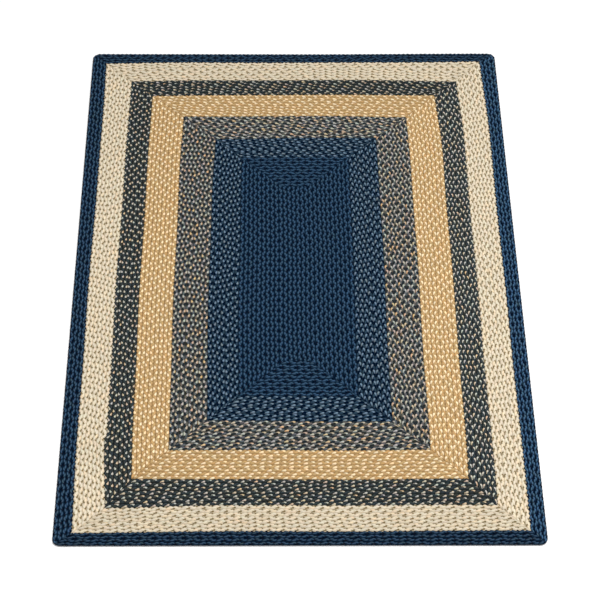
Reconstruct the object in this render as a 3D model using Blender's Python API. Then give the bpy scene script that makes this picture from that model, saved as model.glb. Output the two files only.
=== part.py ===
"""Flat braided area rug, about 4 ft by 6 ft.

Three-strand braid is wound flat in rectangular rounds and sewn edge to edge. The colours of the
strands change every few rounds, which makes a centre panel and the six bands that frame it.

Metres, +Z up. The rug lies on z = 0 with its long side along Y, and its origin is the middle of
its underside. The back is +Y and the right is +X.
"""

from collections import namedtuple
from math import cos, pi, sin

import bpy

# Driving sizes, in metres
RUG_WIDTH = 1.2192
RUG_LENGTH = 1.8288
RUG_THICKNESS = 0.008
CORNER_RADIUS = 0.020
SEAM_GAP = 0.0003  # between two bands
SHOULDER = 0.0025  # the rounding along both edges of a band, where its last braid curves down

CORNER_STEPS = 6
SHOULDER_STEPS = 1
MM = 0.001

# Each band's outer edge, as its distance in from the four sides of the rug in millimetres, and
# the band's overall colour. A band ends where the next one starts.
Band = namedtuple("Band", "name left right back front colour")
BANDS = (
    Band("border_band", 0, 0, 0, 0, (0.010, 0.030, 0.080)),
    Band("cream_band", 42.0, 40.5, 39.0, 42.0, (0.620, 0.520, 0.360)),
    Band("black_band", 116.5, 116.0, 118.5, 121.5, (0.020, 0.026, 0.034)),
    Band("gold_band", 182.0, 182.0, 184.5, 202.5, (0.520, 0.320, 0.120)),
    Band("mixed_band", 275.0, 276.0, 277.5, 296.0, (0.060, 0.060, 0.060)),
    Band("slate_band", 370.0, 369.5, 371.5, 390.5, (0.030, 0.052, 0.085)),
    Band("centre_panel", 451.5, 453.5, 453.0, 474.5, (0.014, 0.036, 0.082)),
)

FABRIC_ROUGHNESS = 0.95
FABRIC_SHEEN = 0.3


def edges_of(band, inwards=0.0):
    """The X of a band's left and right edges and the Y of its front and back, in metres."""
    left = -RUG_WIDTH / 2 + band.left * MM + inwards
    right = RUG_WIDTH / 2 - band.right * MM - inwards
    front = -RUG_LENGTH / 2 + band.front * MM + inwards
    back = RUG_LENGTH / 2 - band.back * MM - inwards
    return left, right, front, back


def rectangle(left, right, front, back, radius=0.0):
    """The corners of an outline, anticlockwise from the back right, each an arc if it has a radius."""
    corners = ((right, back), (left, back), (left, front), (right, front))
    if not radius:
        return list(corners)
    middle_x, middle_y = (left + right) / 2, (front + back) / 2
    points = []
    for quarter, (x, y) in enumerate(corners):
        centre_x = x - radius if x > middle_x else x + radius
        centre_y = y - radius if y > middle_y else y + radius
        for step in range(CORNER_STEPS + 1):
            angle = (quarter + step / CORNER_STEPS) * pi / 2
            points.append((centre_x + radius * cos(angle), centre_y + radius * sin(angle)))
    return points


def add_outline(curve, points):
    """Adds a closed outline of straight lines to a flat curve."""
    spline = curve.splines.new("POLY")
    spline.points.add(len(points) - 1)
    for point, (x, y) in zip(spline.points, points):
        point.co = (x, y, 0.0, 1.0)
    spline.use_cyclic_u = True


def braid_material(band):
    """A dull woven finish in the band's overall colour."""
    material = bpy.data.materials.new(band.name)
    material.use_nodes = True
    shader = material.node_tree.nodes["Principled BSDF"]
    shader.inputs["Base Color"].default_value = (*band.colour, 1.0)
    shader.inputs["Roughness"].default_value = FABRIC_ROUGHNESS
    shader.inputs["Metallic"].default_value = 0.0
    shader.inputs["Sheen Weight"].default_value = FABRIC_SHEEN
    return material


def flat_band(band, outer, inner, collection):
    """One sewn band: a flat outline, with a hole for the bands inside it, and rounded edges."""
    curve = bpy.data.curves.new(band.name, "CURVE")
    curve.dimensions = "2D"
    curve.fill_mode = "BOTH"
    add_outline(curve, outer)
    if inner:
        add_outline(curve, inner)
    curve.extrude = RUG_THICKNESS / 2 - SHOULDER
    curve.bevel_depth = SHOULDER
    curve.bevel_resolution = SHOULDER_STEPS
    curve.offset = -SHOULDER
    curve.materials.append(braid_material(band))
    rug_piece = bpy.data.objects.new(band.name, curve)
    rug_piece.location.z = RUG_THICKNESS / 2
    collection.objects.link(rug_piece)


def clear_scene():
    for old in list(bpy.data.objects):
        bpy.data.objects.remove(old, do_unlink=True)


def build_rug():
    collection = bpy.data.collections.new("braided_rug")
    bpy.context.scene.collection.children.link(collection)
    for band, inside in zip(BANDS, (*BANDS[1:], None)):
        radius = CORNER_RADIUS if band is BANDS[0] else 0.0
        outer = rectangle(*edges_of(band), radius)
        inner = rectangle(*edges_of(inside, -SEAM_GAP)) if inside else None
        flat_band(band, outer, inner, collection)


clear_scene()
build_rug()
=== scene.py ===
import math
import bpy
import numpy as np
from mathutils import Matrix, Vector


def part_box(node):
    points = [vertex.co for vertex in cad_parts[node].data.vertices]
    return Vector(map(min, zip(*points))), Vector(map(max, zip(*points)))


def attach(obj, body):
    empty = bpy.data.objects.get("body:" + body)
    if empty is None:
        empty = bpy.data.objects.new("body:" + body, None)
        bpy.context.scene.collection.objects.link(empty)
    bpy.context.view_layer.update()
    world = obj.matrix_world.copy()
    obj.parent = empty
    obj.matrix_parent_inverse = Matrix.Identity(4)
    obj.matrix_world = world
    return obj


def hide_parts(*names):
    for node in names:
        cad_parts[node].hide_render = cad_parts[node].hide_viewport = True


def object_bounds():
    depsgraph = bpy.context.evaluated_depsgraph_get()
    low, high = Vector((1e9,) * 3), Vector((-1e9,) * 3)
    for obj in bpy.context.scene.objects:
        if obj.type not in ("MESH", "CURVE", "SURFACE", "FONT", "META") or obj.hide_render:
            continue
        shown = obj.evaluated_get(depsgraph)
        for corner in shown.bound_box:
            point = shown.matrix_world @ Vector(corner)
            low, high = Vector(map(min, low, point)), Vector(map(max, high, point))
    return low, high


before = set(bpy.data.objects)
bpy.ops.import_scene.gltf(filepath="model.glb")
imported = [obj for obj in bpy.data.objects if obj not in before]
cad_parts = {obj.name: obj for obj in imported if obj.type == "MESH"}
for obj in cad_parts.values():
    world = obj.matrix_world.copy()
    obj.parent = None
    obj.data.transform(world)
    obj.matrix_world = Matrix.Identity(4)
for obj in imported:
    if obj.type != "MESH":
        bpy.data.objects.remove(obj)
cad_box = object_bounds()


# The middle of the rug, where the maker starts. Three strands of dyed jute yarn are plaited into one flat
# braid, which is laid in straight rows first and then wound round them in ten rounds, folded at each corner.
# The rows are laced edge to edge, so that each is pressed a little into its neighbours.
MM = 0.001
SIDES = ("left", "front", "right", "back")
MIDDLE_ROWS = 6
CENTRE_ROUNDS = dict.fromkeys(SIDES, 10)
CENTRE_LOBE = 12.1 * MM  # from one lobe of the braid to the next along an edge
CENTRE_THINNER = 1.0 * MM  # how much thinner the first strand is than the other two
CENTRE_DYES = ((0, 8, 30), (37, 63, 86), (37, 63, 86))  # one black-navy strand and two navy ones
CENTRE_GAP_SHADE = (11, 35, 59)  # painted shade: the colour painted deep between the strands, at their sides and at folds
CENTRE_STEP, CENTRE_SPREAD = -0.5, 0.25  # lobes that a row lies ahead of the one outside it, give or take

TURN = 2 * math.pi / 3  # a strand is back on the same edge after three lobes
SWING = 0.34  # how far a strand swings to each side, in half-widths of the row, as sizes across it are
HOLD = 0.13  # how much a strand keeps to the edges and then crosses quickly
STRAND = 0.60  # half the width of a strand
SLANT = 0.374  # the slope of a strand that swings evenly, where it crosses the row's middle
RISE = 1.2 * MM  # how far a strand rides over and under the middle of the braid
SWELL = 2.8 * MM  # half the thickness of a strand
PRESSED = 1.0 * MM  # how far a row is pressed into its neighbours on each side


def strand_top(along, across, thinner):
    """Height of the highest strand over the middle of the braid, at places in lobes and half-widths. thinner
    is how much thinner the first strand is than the others."""
    turns = (along + np.arange(3).reshape(3, *[1] * np.ndim(along))) * TURN
    sideways = np.sin(turns) + HOLD * np.sin(3 * turns)
    crossing = np.cos(turns) + HOLD * 3 * np.cos(3 * turns)
    aside = (across - SWING * sideways) / np.sqrt(1 + (SLANT * crossing) ** 2) / STRAND
    heights = SWELL * (1 - aside**2) - RISE * np.sin(2 * turns)
    heights[0] -= thinner
    return heights.max(axis=0)


COLUMNS = np.array((-1.0, -0.67, -0.33, 0.0, 0.33, 0.67, 1.0, -0.5, 0.5))  # places across, two of them under
LEAN = np.array((-0.03, 0.04, 0.1, 0.0, 0.1, 0.04, -0.03, 0.0, 0.0))  # lobes that each column runs ahead
ACROSS = len(COLUMNS)
FIRST, LAST = 0, 6  # the columns along the two edges, which are also the ends of the top
INNER = slice(FIRST + 1, LAST)  # the columns between them, which have twice as many points along the row
FULL, MOUTH = 1.10, 0.88  # half-width of a row at a lobe and between two lobes
FULL_HEIGHT, MOUTH_HEIGHT = 1.5 * MM, 0.0  # height of its edge there


def braid_faces():
    """Triangles of half a lobe of braid, top and underside, with each corner as (quarter lobe, column).
    Three triangles fan out along each edge, which has half as many points as the rest of the top."""
    top = [((0, 0), (0, 1), (1, 1)), ((0, 0), (1, 1), (2, 0)), ((1, 1), (2, 1), (2, 0))]
    top += [((0, 5), (0, 6), (1, 5)), ((0, 6), (2, 6), (1, 5)), ((1, 5), (2, 6), (2, 5))]
    for column in range(1, 5):
        for step in (0, 1):
            a, b = (step, column), (step, column + 1)
            c, d = (step + 1, column + 1), (step + 1, column)
            top += [(a, b, d), (b, c, d)] if column >= 3 else [(a, b, c), (a, c, d)]
    under = []
    for outer, inner in ((0, 7), (7, 8), (8, 6)):
        a, b, c, d = (0, outer), (2, outer), (2, inner), (0, inner)
        under += [(a, b, c), (a, c, d)]
    return np.array(top), np.array(under)


TOP_FACES, UNDER_FACES = braid_faces()
START_FACES = np.array([(0, 7, 8), (0, 8, 6), (0, 6, 5), (0, 5, 4), (0, 4, 3), (0, 3, 2), (0, 2, 1)])


half_width = cad_box[1].x
half_length = cad_box[1].y
CORNER_RADIUS = 20 * MM  # of the rug's own corners
EDGE_PRESSED = 0.65  # how much flatter the lobes lie along the rug's edge than between two rows
INSIDE = 60 * MM  # how far in from the rug's edge the rows bow and waver in full
CORNER_DEPTHS = (0.0, 0.042, 0.118, 0.188, 0.285, 0.378, 0.5)  # from the rug's edge to its bands' corners
CORNER_PULLS = {  # how far those corners are pulled in, in millimetres, sideways and then lengthways
    (-1, 1): ((0, -3.4, 0.7, 0.7, 3.5, 6, 0), (0, 5, 6, 6, 2, 4, 0)),  # back left
    (1, 1): ((0, 6.7, 6.4, 9.9, 5.6, 4, 0), (0, -1.5, 8, 2.9, 5, -1, 0)),  # back right
    (-1, -1): ((0, 1, 5.3, 3.2, 1.8, 1.9, 0), (0, -4.2, -7.3, 3.8, 1.6, 3.5, 0)),  # front left
    (1, -1): ((0, -1.3, -0.5, 2, -1, 0, 0), (0, 2.5, 0, 0.9, 0.9, 0, 0)),  # front right
}
PULL_WIDTH = 0.15  # how far to each side of a fold a corner's pull is felt
BOW_PLACE, BOW_OUT = -0.12, 1.7 * MM  # where the left side bows out, and how far
BOW_CURVE, BOW_IN = 8.6 * MM, 2.5 * MM  # how quickly it comes back in from there, and how far
BOW_WIDTH = 0.2  # how near to the rug's middle the bow fades away
STRETCH, STRETCH_WIDTH, STRETCH_LENGTH = 4.5 * MM, 0.6, 0.9  # the back right corner is stretched back
JOG, JOG_DEPTH, JOG_WIDTH = 6 * MM, 0.1165, 28 * MM  # a step out in the black band's left edge
JOG_START, JOG_RUN = -0.567, 12 * MM  # where along that side it starts, and how soon it is full
JOG_END, JOG_FADE = -0.83, 0.26  # where it ends, and over what length it fades
WAVER = 1.0 * MM  # how far the rows waver
WAVER_SIDEWAYS = (3.0, 11.0, 0.5)  # radians for each metre across and along the rug, and at its middle
WAVER_LENGTHWAYS = (12.5, -2.0, 1.7)


def smooth_step(x):
    """A smooth rise from 0 to 1 while x goes from 0 to 1."""
    x = np.clip(x, 0, 1)
    return x * x * (3 - 2 * x)


def pressed_edge(place, half):
    """A place across the rug, with what stands out past its edge pressed back."""
    return place - np.sign(place) * EDGE_PRESSED * np.maximum(np.abs(place) - half, 0)


def rounded_corner(x, y):
    """A point of the rug, moved in where it is in one of the rug's own corners, which are round."""
    past_x = np.maximum(np.abs(x) - (half_width - CORNER_RADIUS), 0)
    past_y = np.maximum(np.abs(y) - (half_length - CORNER_RADIUS), 0)
    in_corner = (past_x > 0) & (past_y > 0)
    reach = np.where(in_corner, np.hypot(past_x, past_y), 1)
    keep = np.where(in_corner, np.maximum(past_x, past_y) / reach, 1)
    return x - np.sign(x) * past_x * (1 - keep), y - np.sign(y) * past_y * (1 - keep)


def waver(x, y, across, along, middle):
    """How far the rows waver at a point."""
    return WAVER * np.sin(x * across + y * along + middle)


def lie(x, y):
    """Where a point of the square plan lies in the rug, whose bands and rows are all a little astray."""
    x, y = rounded_corner(pressed_edge(x, half_width), pressed_edge(y, half_length))
    in_x, in_y = half_width - np.abs(x), half_length - np.abs(y)
    depth = np.minimum(in_x, in_y)
    inside = smooth_step(depth / INSIDE)
    at_corner = np.exp(-(((in_x - in_y) / PULL_WIDTH) ** 2)) * MM
    new_x, new_y = x.copy(), y.copy()
    for (side_x, side_y), (pull_x, pull_y) in CORNER_PULLS.items():
        here = at_corner * (x * side_x > 0) * (y * side_y > 0)
        new_x -= side_x * np.interp(depth, CORNER_DEPTHS, pull_x) * here
        new_y -= side_y * np.interp(depth, CORNER_DEPTHS, pull_y) * here
    bow = np.minimum(BOW_CURVE * (y - BOW_PLACE) ** 2 - BOW_OUT, BOW_IN)
    new_x += bow * np.clip(-x / BOW_WIDTH, 0, 1) * inside
    new_y += STRETCH * smooth_step(x / STRETCH_WIDTH) * smooth_step(y / STRETCH_LENGTH)
    jog = smooth_step((JOG_START - y) / JOG_RUN) * np.clip((y - JOG_END) / JOG_FADE, 0, 1)
    new_x -= JOG * jog * (x < 0) * np.exp(-(((in_x - JOG_DEPTH) / JOG_WIDTH) ** 2))
    new_x += waver(x, y, *WAVER_SIDEWAYS) * inside
    new_y += waver(x, y, *WAVER_LENGTHWAYS) * inside
    return new_x, new_y


random_lay = np.random.default_rng(7)
middle_height = (cad_box[0].z + cad_box[1].z) / 2
FOLD_REACH = 1.5  # lobes over which the braid straightens after a fold
FOLD_DIP, DIP_REACH = 0.5, 0.4  # its height at a fold, as a share, and the lobes over which it is full again
SEEDS = 50  # each row gets a number up to this, from which its own unevenness and noise follow
UNEVEN = 0.015  # how much longer or shorter the lobes of one row are than those of another
STRAY, STRAY_WAVE = 4 * MM, 7  # how far the lobes stray along a row, in waves of so many radians a metre
JITTER, JITTER_WAVE = 1.2 * MM, 21  # the same in quicker waves
STRAY_REACH = 0.07  # metres from a fold to where the lobes stray in full
WOBBLE, WOBBLE_WAVE = 0.25 * MM, 90  # how far a row wobbles sideways
PLUMP, PLUMP_WAVE = 0.04, 1.7  # how much plumper a row is in places, as a share, in radians a lobe
LUMPY = 0.02  # how much its height differs from point to point


def by_point(values):
    """Values at every quarter lobe and column, as the list of the row's points: those at each half-lobe, and
    then those between them, which only the inner columns of the top have."""
    rest = values.shape[2:]
    return np.concatenate((values[::2].reshape(-1, *rest), values[1::2, INNER].reshape(-1, *rest)))


def face_corners(faces, halves):
    """The triangles of a whole row from those of half a lobe, as numbers of points and as places in
    half-lobes and half-widths."""
    step, column = faces[..., 0], faces[..., 1]
    half = np.arange(halves).reshape(-1, 1, 1)
    at_half = ACROSS * (half + step // 2) + column
    between = ACROSS * (halves + 1) + (INNER.stop - INNER.start) * half + column - INNER.start
    points = np.where(step == 1, between, at_half)
    places = np.stack(np.broadcast_arrays(half + step / 2, COLUMNS[column]), axis=-1)
    return points.reshape(-1, 3), places.reshape(-1, 3, 2)


def lay_row(start, end, outward, width, folds, lobe, thinner, lead):
    """One row of braid from start to end, as points, triangles and what its finish reads. folds are the
    slopes of the folds at its two ends, and lead is how many lobes into its pattern the braid starts."""
    length = np.linalg.norm(end - start)
    ahead = (end - start) / length
    first = round(2 * lead) / 2
    early = (lead - first) * lobe  # a row starts at a whole half-lobe, so its lobes are moved by the rest
    seed = random_lay.uniform(0, SEEDS)
    lobe = lobe * random_lay.normal(1, UNEVEN)
    halves = max(2, round(2 * length / lobe))
    last = first + halves / 2
    steps = np.arange(2 * halves + 1)
    between_ends = (steps > 0) & (steps < 2 * halves)
    lobes = first + steps[:, None] / 4 + LEAN * between_ends[:, None]
    share = (lobes - first) / (last - first)

    run = share * length
    stray = STRAY * np.sin(run * STRAY_WAVE + seed) + JITTER * np.sin(run * JITTER_WAVE + seed * 3)
    run = run + (stray - early) * smooth_step(np.minimum(share, 1 - share) * length / STRAY_REACH)
    across = np.broadcast_to(COLUMNS, run.shape).copy()
    lobe_is_last = np.round(2 * (first + steps / 4)) % 2 == 0
    across[:, FIRST] = -np.where(lobe_is_last, MOUTH, FULL)
    across[:, LAST] = np.where(lobe_is_last, FULL, MOUTH)
    aside = across * (width / 2 + PRESSED) + WOBBLE * np.sin(run * WOBBLE_WAVE + seed * 2)
    from_start, from_end = run / lobe, (length - run) / lobe
    run = run + folds[0] * aside * (1 - smooth_step(from_start / FOLD_REACH))
    run = run + folds[1] * aside * (1 - smooth_step(from_end / FOLD_REACH))

    from_fold = np.minimum(from_start, from_end)
    dip = FOLD_DIP + (1 - FOLD_DIP) * smooth_step(from_fold / DIP_REACH)
    plump = 1 + PLUMP * np.sin(lobes * PLUMP_WAVE + seed) + random_lay.normal(0, LUMPY, lobes.shape)
    under = -strand_top(-lobes, -across, thinner)
    height = np.where(np.arange(ACROSS) <= LAST, strand_top(lobes, across, thinner), under)
    height[:, FIRST] = np.where(lobe_is_last, MOUTH_HEIGHT, FULL_HEIGHT)
    height[:, LAST] = np.where(lobe_is_last, FULL_HEIGHT, MOUTH_HEIGHT)
    height = np.clip(height * dip * plump, -middle_height, middle_height)

    x = start[0] + ahead[0] * run + outward[0] * aside
    y = start[1] + ahead[1] * run + outward[1] * aside
    x, y = lie(x, y)
    top, top_map = face_corners(TOP_FACES, halves)
    under, under_map = face_corners(UNDER_FACES, halves)
    return {
        "points": by_point(np.stack((x, y, middle_height + height), axis=-1)),
        "reads": by_point(np.stack((lobes, across, np.full_like(lobes, seed)), axis=-1)),
        "from_fold": by_point(from_fold),
        "top": top,
        "top_map": top_map,
        "under": under,
        "under_map": under_map,
        "ends": np.concatenate((START_FACES, START_FACES[:, ::-1] + ACROSS * halves)),
        "halves": halves,
    }


LANE_ROOM = 1.08  # how much wider a lane of the bake's map is than the braid in it
LANE_SLACK = 1.001  # how much taller than wide the lanes may be together
LANE_STEP = 1.02  # how much longer they are made when they are too tall
LANE_MARGIN, LANE_REST = 0.002, 0.5  # room at the start of a lane, as a share, and at its end, in half-lobes
END_WIDTH, END_HEIGHT = 1 / 2.3, 0.9 / 2.2  # size of a row's end in its cell of the map


def unroll(rows, width, lobe):
    """The bake's map of a piece: the top and underside of each row, cut into lanes that fill a square, and
    in one more lane the rows' ends."""
    runs = [run for row in rows for run in (row["top_map"], row["under_map"])]
    halves = [row["halves"] for row in rows for _ in range(2)]
    half_lobe = lobe / 2
    lane_width = (width + 2 * PRESSED) * LANE_ROOM
    lane_length = math.sqrt(sum(halves) * half_lobe * lane_width) / half_lobe
    while True:
        per_lane = math.floor(lane_length)
        lanes = [math.ceil(n / per_lane) for n in halves]
        if (sum(lanes) + 1) * lane_width <= per_lane * half_lobe * LANE_SLACK:
            break
        lane_length *= LANE_STEP
    size = 1 / (sum(lanes) + 1)

    sides, lane = [], 0
    for run, count in zip(runs, lanes):
        half = np.floor(run[:, :, 0].min(axis=1))[:, None]
        u = (run[:, :, 0] - half // per_lane * per_lane) / (per_lane + LANE_REST) + LANE_MARGIN
        v = (lane + half // per_lane + 0.5 + run[:, :, 1] / 2 / LANE_ROOM) * size
        sides.append(np.stack((u, v), axis=-1))
        lane += count

    ends = []
    for number, row in enumerate(rows):
        for end, corner in enumerate((START_FACES, START_FACES[:, ::-1])):
            height = row["points"][corner + ACROSS * row["halves"] * end][..., 2]
            u = (2 * number + end + 0.5 + COLUMNS[corner] * END_WIDTH) / (2 * len(rows))
            v = (lane + 0.5 + (height - middle_height) / middle_height * END_HEIGHT) * size
            ends.append(np.stack((u, v), axis=-1))
    return sides, ends


def note(mesh, name, kind, domain, values):
    """Keep values with the points or faces of a mesh, for its finish to read."""
    field = "vector" if kind == "FLOAT_VECTOR" else "value"
    mesh.attributes.new(name, kind, domain).data.foreach_set(field, values.astype(np.float32).ravel())


def sew(name, rows, width, lobe, finish, tone=1.0):
    """One piece from its rows of braid, made lighter or darker by tone."""
    faces, maps, underside, start = [], [], [], 0
    sides, ends = unroll(rows, width, lobe)
    for number, row in enumerate(rows):
        faces += [row["top"] + start, row["under"] + start, row["ends"] + start]
        underside += [np.zeros(len(row["top"])), np.ones(len(row["under"])), np.zeros(len(row["ends"]))]
        maps += sides[2 * number : 2 * number + 2] + ends[2 * number : 2 * number + 2]
        start += len(row["points"])
    mesh = bpy.data.meshes.new(name)
    points = np.concatenate([row["points"] for row in rows])
    mesh.from_pydata(points, [], np.concatenate(faces), shade_flat=False)
    bake_map = np.concatenate(maps).astype(np.float32)
    mesh.uv_layers.new(name="OFBake").data.foreach_set("uv", bake_map.ravel())
    note(mesh, "braid", "FLOAT_VECTOR", "POINT", np.concatenate([row["reads"] for row in rows]))
    note(mesh, "fold", "FLOAT", "POINT", np.concatenate([row["from_fold"] for row in rows]))
    note(mesh, "tone", "FLOAT", "POINT", np.full(start, tone))
    note(mesh, "underside", "FLOAT", "FACE", np.concatenate(underside))
    mesh.materials.append(finish)
    piece = bpy.data.objects.new(name, mesh)
    bpy.context.scene.collection.objects.link(piece)
    return piece


def around(outer, inner):
    """The sides of a band in the order that the braid runs, each as the two ends of its outer edge, the two
    ends of its inner edge and its outward way."""
    (x0, y0, x1, y1), (u0, v0, u1, v1) = outer, inner
    return {
        "left": (((x0, y1), (x0, y0)), ((u0, v1), (u0, v0)), (-1, 0)),
        "front": (((x0, y0), (x1, y0)), ((u0, v0), (u1, v0)), (0, -1)),
        "right": (((x1, y0), (x1, y1)), ((u1, v0), (u1, v1)), (1, 0)),
        "back": (((x1, y1), (x0, y1)), ((u1, v1), (u0, v1)), (0, 1)),
    }


OUTER_LEADS = (3, 6)  # lobes into its pattern where the outermost row may start, a whole turn of a strand


def leads(rounds, step, spread):
    """How many lobes into its pattern the braid is at the start of each row, from the outermost row in."""
    return random_lay.uniform(*OUTER_LEADS) + np.cumsum(random_lay.normal(step, spread, rounds))


def wind_band(node, outer, inner, rounds, lobe, thinner, finish, tones=None, step=0.0, spread=1.0):
    """The four sides of a band of braid, from fold to fold. tones are how much lighter or darker each side
    is made. Each row lies step lobes ahead of the one outside it, give or take spread."""
    for side, (outer_edge, inner_edge, outward) in around(outer, inner).items():
        (a, b), (c, d) = np.array(outer_edge), np.array(inner_edge)
        outer_length, inner_length = np.linalg.norm(b - a), np.linalg.norm(d - c)
        ahead = (b - a) / outer_length
        depth = (a - c) @ np.array(outward)
        width = depth / rounds[side]
        folds = ((a - c) @ ahead / depth, (b - d) @ ahead / depth)
        shares = (np.arange(rounds[side]) + 0.5) / rounds[side]
        rows = []
        for share, lead in zip(shares, leads(rounds[side], step, spread)):
            start, end = a + (c - a) * share, b + (d - b) * share
            rows.append(lay_row(start, end, outward, width, folds, lobe, thinner, lead))
        piece = sew(f"{node}_{side}", rows, width, lobe, finish, tones[side] if tones else 1.0)
        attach(piece, "root")
        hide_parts(node)


def plan(node):
    """The left, front, right and back edges of a band."""
    low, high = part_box(node)
    return low[0], low[1], high[0], high[1]


class Shade:
    """An output of a node in a finish, so that the finish is written as sums."""

    def __init__(self, tree, socket=None):
        self.tree, self.socket = tree, socket

    def add(self, kind, settings=None, inputs=None, output=0):
        """Any node from its type, its settings and its sockets' values or links, as one of its outputs."""
        node = self.tree.nodes.new("ShaderNode" + kind)
        for name, value in (settings or {}).items():
            setattr(node, name, value)
        for name, value in (inputs or {}).items():
            if isinstance(value, Shade):
                self.tree.links.new(value.socket, node.inputs[name])
            else:
                node.inputs[name].default_value = value
        return Shade(self.tree, node.outputs[output])

    def other(self, output):
        """Another output of the same node."""
        return Shade(self.tree, self.socket.node.outputs[output])

    def kept(self, name, output="Fac"):
        """What the mesh keeps for the finish under a name."""
        return self.add("Attribute", {"attribute_name": name}, output=output)

    def maths(self, operation, *values):
        return self.add("Math", {"operation": operation}, dict(enumerate(values)))

    def __add__(self, value):
        return self.maths("ADD", self, value)

    def __sub__(self, value):
        return self.maths("SUBTRACT", self, value)

    def __mul__(self, value):
        return self.maths("MULTIPLY", self, value)

    def __truediv__(self, value):
        return self.maths("DIVIDE", self, value)

    def __rsub__(self, value):
        return self.maths("SUBTRACT", value, self)

    def __rtruediv__(self, value):
        return self.maths("DIVIDE", value, self)

    __radd__, __rmul__ = __add__, __mul__

    def sine(self):
        return self.maths("SINE", self)

    def cosine(self):
        return self.maths("COSINE", self)

    def root(self):
        return self.maths("SQRT", self)

    def size(self):
        return self.maths("ABSOLUTE", self)

    def floor(self):
        return self.maths("FLOOR", self)

    def least(self, value):
        return self.maths("MINIMUM", self, value)

    def most(self, value):
        return self.maths("MAXIMUM", self, value)

    def over(self, value):
        return self.maths("GREATER_THAN", self, value)

    def rising(self, low, high, least=0.0, most=1.0):
        """A smooth change from least to most while this goes from low to high."""
        inputs = {"Value": self, "From Min": low, "From Max": high, "To Min": least, "To Max": most}
        return self.add("MapRange", {"interpolation_type": "SMOOTHSTEP"}, inputs)

    def blend(self, first, second):
        """first where this is 0 and second where it is 1, as colours."""
        return self.add("Mix", {"data_type": "RGBA"}, {0: self, 6: first, 7: second}, output=2)


def dyed(red, green, blue):
    """A dye's colour as a shader takes it, in linear light, from its eight-bit values."""
    shares = [value / 255 for value in (red, green, blue)]
    return (*[((v + 0.055) / 1.055) ** 2.4 if v > 0.04045 else v / 12.92 for v in shares], 1.0)


YARNS = 4  # yarns side by side in a strand
HIDDEN = 0.15  # the share of its turn at which a strand is hidden and its next length starts
FIBRES = 12  # how much finer the fibres are than a lobe
FIBRE_NOISE = {"Scale": 0.55, "Detail": 3.0, "Roughness": 0.6}
STRAND_APART, YARN_APART, ROW_APART = 7, 3, 9  # steps in the noise that keep strands, yarns and rows unlike
PATCH_NOISE = {"Scale": 9.0, "Detail": 2.0}  # soft patches about a hand wide
CREASE_SHADE = (-0.1, 0.7)  # millimetres of the top strand over the next, from painted shade of the gap's colour to the dye
SIDE_SHADE = (0.55, 1.0)  # the way from a strand's crest to its side, from the dye to painted shade of the gap's colour
FOLD_SHADE = (0.0, 0.25, 0.4)  # lobes from a fold to the full dye, and how much of it shows at the fold, the rest painted shade of the gap's colour
RIDGE_HIGHLIGHT_START = 0.1  # how far from a strand's crest its painted highlight starts to fade
RIDGE_HIGHLIGHT_HEIGHTS = (1.6, 3.8)  # millimetres over the braid's middle where a crest has no painted highlight and a full one
LEAST_TONE = 0.68  # how light the dye is at its darkest, to which each of these adds
# The last of these paints shade between the yarns of a strand; the others are tone that differs at random.
LOBE_TONE, YARN_TONE, FIBRE_TONE, PATCH_TONE, ROUND_SHADE = 0.16, 0.14, 0.22, 0.10, 0.08
WARMTH, MEAN_WARMTH = 2.4, 0.25  # a few yarns are much warmer than the rest, about an unchanged mean
SEAM_SHADING_REACH = (0.6, 1.0)  # from a row's middle to its edge, over which a seam's painted light, or painted shade where negative, grows
RIM_SHADE_WIDTH = 4 * MM  # how wide the painted shade along the rug's edge is
FUZZ_SHEEN_COLOUR = (225, 215, 200)  # of the pale fuzz painted on the crests as a painted sheen
CREASE_HEIGHT = 1.2  # millimetres of the top strand over the next at which a crease has ended
YARN_RELIEF, FIBRE_RELIEF, CREASE_RELIEF = 0.25, 0.2, 0.3  # shares of the height of the relief
RELIEF_STRENGTH, RELIEF_HEIGHT = 0.6, 1 * MM
ROUGHNESS, FIBRE_ROUGHNESS = 0.78, 0.2  # at the least, and what fibres add


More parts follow.
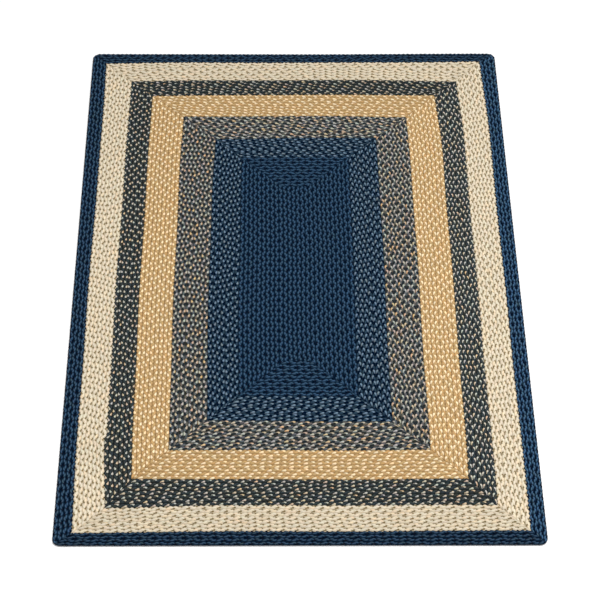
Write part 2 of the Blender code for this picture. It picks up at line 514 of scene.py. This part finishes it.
def braided_jute(name, dyes, gap_shade, thinner, crest_highlight, hue, seam_shading=0.0, fuzz_sheen=0.0, ridge_highlight=0.9, rim_shade=0.0):
    """Jute yarn plaited from three strands of the given dyes, with the gap's colour painted down between
    them as painted shade, in creases, at the strands' sides and at folds, and the first strand thinner than
    the others.
    crest is how much lighter a strand is painted on its crest than at its sides, a painted highlight with
    painted shade beside it, and ridge how far to the sides that highlight reaches. hue is how much the dye
    differs from yarn to yarn. seam is how much lighter a row's edges are painted, as painted light against
    the shade of the groove between rows, and how much darker, as painted shade, where it is negative. fuzz
    is how much pale fuzz is painted on the crests as a painted sheen, and rim how much painted shade darkens
    the rug's edge."""
    material = bpy.data.materials.new(name)
    material.use_nodes = True
    tree = material.node_tree
    at = Shade(tree)
    braid = at.add("SeparateXYZ", {}, {0: at.kept("braid", "Vector")})
    turned = 1 - 2 * at.kept("underside")
    along, across, row = braid * turned, braid.other("Y") * turned, braid.other("Z")

    # The three strands, as in strand_top but in millimetres, and which of them is on top.
    heights, asides = [], []
    for strand in range(3):
        turn = (along + strand) * TURN
        sideways = turn.sine() + (turn * 3).sine() * HOLD
        crossing = turn.cosine() + (turn * 3).cosine() * (3 * HOLD)
        aside = (across - sideways * SWING) / (1 + crossing * crossing * SLANT**2).root() / STRAND
        asides.append(aside)
        full = (SWELL - (thinner if strand == 0 else 0)) / MM
        heights.append(full - aside * aside * (SWELL / MM) - (turn * 2).sine() * (RISE / MM))
    first, second, third = heights
    top_two = first.most(second)
    top = top_two.most(third)
    low = first.least(second).least(third)
    crease = 2 * top + low - (first + second + third)  # how far the top strand stands over the next one
    is_third = third.over(top_two)
    is_second = second.over(first) * (1 - is_third)
    aside = asides[0] + is_second * (asides[1] - asides[0]) + is_third * (asides[2] - asides[0])
    strand = is_second + is_third * 2
    number = (((along + strand) / 3 - HIDDEN) * 2).floor()

    # What differs from lobe to lobe, from yarn to yarn, along the fibres and from patch to patch.
    lobe_place = at.add("CombineXYZ", {}, {0: number, 1: strand, 2: row})
    lobe_noise = at.add("TexWhiteNoise", {"noise_dimensions": "3D"}, {"Vector": lobe_place}, output="Color")
    by_lobe = at.add("SeparateColor", {}, {0: lobe_noise})
    yarn = (aside + 1) * (YARNS / 2)
    yarn_place = at.add("CombineXYZ", {}, {0: number, 1: yarn.floor() + strand * STRAND_APART, 2: row})
    yarn_noise = at.add("TexWhiteNoise", {"noise_dimensions": "3D"}, {"Vector": yarn_place}, output="Value")
    by_yarn = at.add("SeparateColor", {}, {0: yarn_noise.other("Color")})
    yarn_round = (yarn * math.pi).sine().size()
    fibre_along = (along + strand) * FIBRES + yarn * YARN_APART
    fibre_place = at.add("CombineXYZ", {}, {0: fibre_along, 1: aside * FIBRES, 2: row * ROW_APART})
    fibre = at.add("TexNoise", {}, {"Vector": fibre_place, **FIBRE_NOISE})
    place = at.add("TexCoord", output="Object")
    patch = at.add("TexNoise", {}, {"Vector": place, **PATCH_NOISE})

    # The dyes, with a painted highlight on the strands' crests and painted shade between them.
    dye = is_third.blend(is_second.blend(dyed(*dyes[0]), dyed(*dyes[1])), dyed(*dyes[2]))
    off_crest = aside.size()
    # Painted shade: where this mask is low, the gap's colour is painted in creases, at the strands' sides
    # and at folds.
    in_light = crease.rising(*CREASE_SHADE) * off_crest.rising(*SIDE_SHADE, 1.0, 0.0)
    in_light = in_light * at.kept("fold").rising(*FOLD_SHADE)
    # Painted highlight along each strand's crest, strongest on the braid's top.
    top_highlight = off_crest.rising(RIDGE_HIGHLIGHT_START, ridge_highlight, 1.0, 0.0) * top.rising(*RIDGE_HIGHLIGHT_HEIGHTS)
    # Tone that differs at random from lobe to lobe, yarn to yarn, along the fibres and from patch to patch,
    # and painted shade between the yarns of a strand, each yarn lighter along its middle.
    tone = LEAST_TONE + by_lobe * LOBE_TONE + yarn_noise * YARN_TONE + fibre * FIBRE_TONE
    tone = tone + patch * PATCH_TONE + yarn_round * ROUND_SHADE
    # Painted highlight on the crests and painted shade on the strands' sides, times how light each side is
    # made.
    light = tone * at.kept("tone") * (1 - 0.5 * crest_highlight + crest_highlight * top_highlight)
    # Painted light along a row's edges where seam is positive, and painted shade there where it is negative.
    light = light * (1 + seam_shading * across.size().rising(*SEAM_SHADING_REACH))
    # Painted shade along the rug's outer edge, as wide as the rim.
    place_x = at.add("SeparateXYZ", {}, {0: place})
    from_edge = (half_width - place_x.size()).least(half_length - place_x.other("Y").size())
    light = light * from_edge.rising(0.0, RIM_SHADE_WIDTH, 1 - rim_shade, 1.0)
    warm = (by_yarn.other("Green") * by_lobe.other("Green") - MEAN_WARMTH) * (WARMTH * hue)
    green = (by_yarn.other("Blue") - 0.5) * hue
    reddish, greenish, bluish = light * (1 + warm), light * (1 + green), light * (1 - warm)
    tint = at.add("CombineColor", {}, {0: reddish, 1: greenish, 2: bluish})
    lit = at.add("Mix", {"data_type": "RGBA", "blend_type": "MULTIPLY"}, {0: 1.0, 6: dye, 7: tint}, output=2)
    # The gap's colour as painted shade between the strands, and pale fuzz painted on the crests as a painted
    # sheen.
    colour = (top_highlight * fuzz_sheen).blend(in_light.blend(dyed(*gap_shade), lit), dyed(*FUZZ_SHEEN_COLOUR))

    relief = yarn_round * YARN_RELIEF + fibre * FIBRE_RELIEF
    relief = relief + crease.rising(0.0, CREASE_HEIGHT) * CREASE_RELIEF
    raised = {"Strength": RELIEF_STRENGTH, "Distance": RELIEF_HEIGHT, "Height": relief}
    bump = at.add("Bump", {}, raised, output="Normal")
    jute = tree.nodes["Principled BSDF"].inputs
    tree.links.new(colour.socket, jute["Base Color"])
    tree.links.new((ROUGHNESS + fibre * FIBRE_ROUGHNESS).socket, jute["Roughness"])
    tree.links.new(bump.socket, jute["Normal"])
    jute["Specular IOR Level"].default_value = 0.0
    return material


centre_jute = braided_jute(
    "centre_jute", CENTRE_DYES, CENTRE_GAP_SHADE, CENTRE_THINNER,
    crest_highlight=1.1, hue=0.1, seam_shading=-0.3, fuzz_sheen=0.018, ridge_highlight=0.8,
)
centre_outer = plan("centre_panel")
left, front, right, back = centre_outer
row_width = (right - left) / (2 * CENTRE_ROUNDS["left"] + MIDDLE_ROWS)
inset = row_width * CENTRE_ROUNDS["left"]
middle = (left + inset, front + inset, right - inset, back - inset)

middle_rows = []
for number, lead in enumerate(leads(MIDDLE_ROWS, CENTRE_STEP, CENTRE_SPREAD)):
    row_x = middle[0] + (number + 0.5) * row_width
    back_end, front_end = np.array((row_x, middle[3])), np.array((row_x, middle[1]))
    is_left = number < MIDDLE_ROWS / 2
    start, end = (back_end, front_end) if is_left else (front_end, back_end)
    outward = (-1, 0) if is_left else (1, 0)
    middle_rows.append(lay_row(start, end, outward, row_width, (0, 0), CENTRE_LOBE, CENTRE_THINNER, lead))
centre_middle = sew("centre_panel_middle", middle_rows, row_width, CENTRE_LOBE, centre_jute)
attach(centre_middle, "root")
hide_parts("centre_panel")
MIDDLE_ROWS * row_width
middle[3] - middle[1]
wind_band(
    "centre_panel", centre_outer, middle, CENTRE_ROUNDS, CENTRE_LOBE, CENTRE_THINNER,
    centre_jute, step=CENTRE_STEP, spread=CENTRE_SPREAD,
)


# The slate band, next to the centre: seven rounds of a jute braid with a pale slate-blue, a black-navy and a
# mid blue strand, which reads as dark with pale flecks. It starts against the centre's last round and is
# laced to it.
SLATE_ROUNDS = dict.fromkeys(SIDES, 7)
SLATE_LOBE = 12.2 * MM
SLATE_THINNER = 0.3 * MM
SLATE_DYES = ((100, 119, 135), (0, 12, 32), (38, 57, 73))
# painted shade: the colour between the strands
SLATE_GAP_SHADE = (30, 48, 64)
slate_jute = braided_jute("slate_jute", SLATE_DYES, SLATE_GAP_SHADE, SLATE_THINNER, crest_highlight=0.5, hue=0.12)
slate_outer = plan("slate_band")
wind_band(
    "slate_band", slate_outer, centre_outer, SLATE_ROUNDS, SLATE_LOBE, SLATE_THINNER,
    slate_jute,
)


# The mixed band: eight rounds of a jute braid with a beige, a grey and a black strand, the closest flecks of
# the rug. Its yarns differ most in dye, some of them quite brown, and it is laced on round the slate band.
MIXED_ROUNDS = dict.fromkeys(SIDES, 8)
MIXED_LOBE = 11.75 * MM
MIXED_THINNER = 0.2 * MM
MIXED_DYES = ((176, 166, 150), (90, 91, 90), (31, 38, 42))
# painted shade: the colour between the strands
MIXED_GAP_SHADE = (68, 70, 68)
mixed_jute = braided_jute("mixed_jute", MIXED_DYES, MIXED_GAP_SHADE, MIXED_THINNER, crest_highlight=0.4, hue=0.3)
mixed_outer = plan("mixed_band")
wind_band(
    "mixed_band", mixed_outer, slate_outer, MIXED_ROUNDS, MIXED_LOBE, MIXED_THINNER,
    mixed_jute,
)


# The gold band: eight rounds of a jute braid with one cream strand and two gold-tan ones, laced on round the
# mixed band. It is the lightest braid but one, so its rows show more by their flecks than by shade.
GOLD_ROUNDS = dict.fromkeys(SIDES, 8)
GOLD_LOBE = 12.12 * MM
GOLD_THINNER = 0.1 * MM
GOLD_DYES = ((234, 210, 172), (180, 148, 102), (180, 148, 102))
# painted shade: the colour between the strands
GOLD_GAP_SHADE = (170, 137, 92)
GOLD_TONES = {"left": 1.05, "front": 0.96, "right": 1.05, "back": 0.96}  # how much lighter or darker each side is made
gold_jute = braided_jute("gold_jute", GOLD_DYES, GOLD_GAP_SHADE, GOLD_THINNER, crest_highlight=0.3, hue=0.09, seam_shading=0.35)
gold_outer = plan("gold_band")
wind_band(
    "gold_band", gold_outer, mixed_outer, GOLD_ROUNDS, GOLD_LOBE, GOLD_THINNER,
    gold_jute, GOLD_TONES,
)


# The black band: a jute braid with one beige strand and two blue-black ones, laced on round the gold band in
# six rounds, and with one row more along the front, where its length of braid ends.
BLACK_ROUNDS = {"left": 6, "front": 7, "right": 6, "back": 6}
BLACK_LOBE = 11.97 * MM
BLACK_THINNER = 0.7 * MM
BLACK_DYES = ((188, 180, 164), (49, 55, 56), (49, 55, 56))
# painted shade: the colour between the strands
BLACK_GAP_SHADE = (33, 38, 38)
BLACK_TONES = {"left": 1.0, "front": 0.93, "right": 1.1, "back": 0.85}
black_jute = braided_jute("black_jute", BLACK_DYES, BLACK_GAP_SHADE, BLACK_THINNER, crest_highlight=0.6, hue=0.22)
black_outer = plan("black_band")
wind_band(
    "black_band", black_outer, gold_outer, BLACK_ROUNDS, BLACK_LOBE, BLACK_THINNER,
    black_jute, BLACK_TONES,
)


# The cream band: seven rounds of a jute braid with two cream strands and a thinner one of dull tan, which
# marks the rows in an otherwise pale band. It is laced on round the black band.
CREAM_ROUNDS = dict.fromkeys(SIDES, 7)
CREAM_LOBE = 12.0 * MM
CREAM_THINNER = 0.85 * MM
CREAM_DYES = ((126, 109, 76), (219, 205, 180), (219, 205, 180))
# painted shade: the colour between the strands
CREAM_GAP_SHADE = (214, 200, 174)
CREAM_TONES = {"left": 1.0, "front": 0.89, "right": 1.02, "back": 0.92}
cream_jute = braided_jute("cream_jute", CREAM_DYES, CREAM_GAP_SHADE, CREAM_THINNER, crest_highlight=0.25, hue=0.09)
cream_outer = plan("cream_band")
wind_band(
    "cream_band", cream_outer, black_outer, CREAM_ROUNDS, CREAM_LOBE, CREAM_THINNER,
    cream_jute, CREAM_TONES,
)


# The border, the last four rounds: a navy jute braid like the centre's, plaited a little longer. It is laced
# to the cream band and has no binding, so its outermost row is the rug's edge, which is flatter, with
# painted shade along it.
BORDER_ROUNDS = dict.fromkeys(SIDES, 4)
BORDER_LOBE = 12.8 * MM
BORDER_THINNER = 1.0 * MM
BORDER_DYES = ((0, 8, 30), (41, 67, 90), (41, 67, 90))
# painted shade: the colour between the strands
BORDER_GAP_SHADE = (9, 31, 54)
BORDER_TONES = {"left": 0.88, "front": 0.64, "right": 1.3, "back": 0.72}
navy_jute = braided_jute(
    "navy_jute", BORDER_DYES, BORDER_GAP_SHADE, BORDER_THINNER,
    crest_highlight=1.2, hue=0.18, seam_shading=-0.3, fuzz_sheen=0.02, ridge_highlight=0.8, rim_shade=0.6,
)
wind_band(
    "border_band", plan("border_band"), cream_outer, BORDER_ROUNDS, BORDER_LOBE, BORDER_THINNER,
    navy_jute, BORDER_TONES,
)


# The studio, which isn't part of the rug: a floor of matt white card, one broad soft light overhead and an
# even white surround. The camera looks down over the rug's front edge, rolled a little.
FLOOR_SIZE, FLOOR_DROP = 30, 0.3 * MM
CARD = {
    "Base Color": (0.96, 0.96, 0.96, 1),
    "Roughness": 0.9,
    "Emission Color": (1, 1, 1, 1),
    "Emission Strength": 0.1,
}
LIGHT_SIZE, LIGHT_POWER, LIGHT_PLACE = 3.0, 308, (1.2, -1.2, 5.7)
LIGHT_LEAN = (math.radians(10), math.radians(12), 0)
SURROUND = {"Color": (1, 1, 1, 1), "Strength": 0.4}
CAMERA_PLACE = (-0.0797, -3.935, 4.2008)
CAMERA_HEADING, CAMERA_TILT, CAMERA_ROLL = -1.2971, 42.443, 0.9415  # degrees
LENS, SENSOR = 125.53, 36  # millimetres

bpy.ops.mesh.primitive_plane_add(size=FLOOR_SIZE, location=(0, 0, -FLOOR_DROP))
floor = bpy.context.active_object
floor.name = "studio_floor"
white_card = bpy.data.materials.new("white_card")
white_card.use_nodes = True
for socket, value in CARD.items():
    white_card.node_tree.nodes["Principled BSDF"].inputs[socket].default_value = value
floor.data.materials.append(white_card)

softbox = bpy.data.objects.new("softbox", bpy.data.lights.new("softbox", "AREA"))
softbox.data.shape = "SQUARE"
softbox.data.size = LIGHT_SIZE
softbox.data.energy = LIGHT_POWER
softbox.location = LIGHT_PLACE
softbox.rotation_euler = LIGHT_LEAN
bpy.context.scene.collection.objects.link(softbox)

surround = bpy.data.worlds.new("surround")
surround.use_nodes = True
for socket, value in SURROUND.items():
    surround.node_tree.nodes["Background"].inputs[socket].default_value = value
bpy.context.scene.world = surround
bpy.context.scene.view_settings.view_transform = "Standard"

camera = bpy.data.objects.new("camera", bpy.data.cameras.new("camera"))
camera.data.lens = LENS
camera.data.sensor_width = SENSOR
camera.location = CAMERA_PLACE
heading = Matrix.Rotation(math.radians(CAMERA_HEADING), 3, "Z")
tilt = Matrix.Rotation(math.radians(CAMERA_TILT), 3, "X")
roll = Matrix.Rotation(math.radians(CAMERA_ROLL), 3, "Z")
camera.rotation_euler = (heading @ tilt @ roll).to_euler()
bpy.context.scene.collection.objects.link(camera)
bpy.context.scene.camera = camera
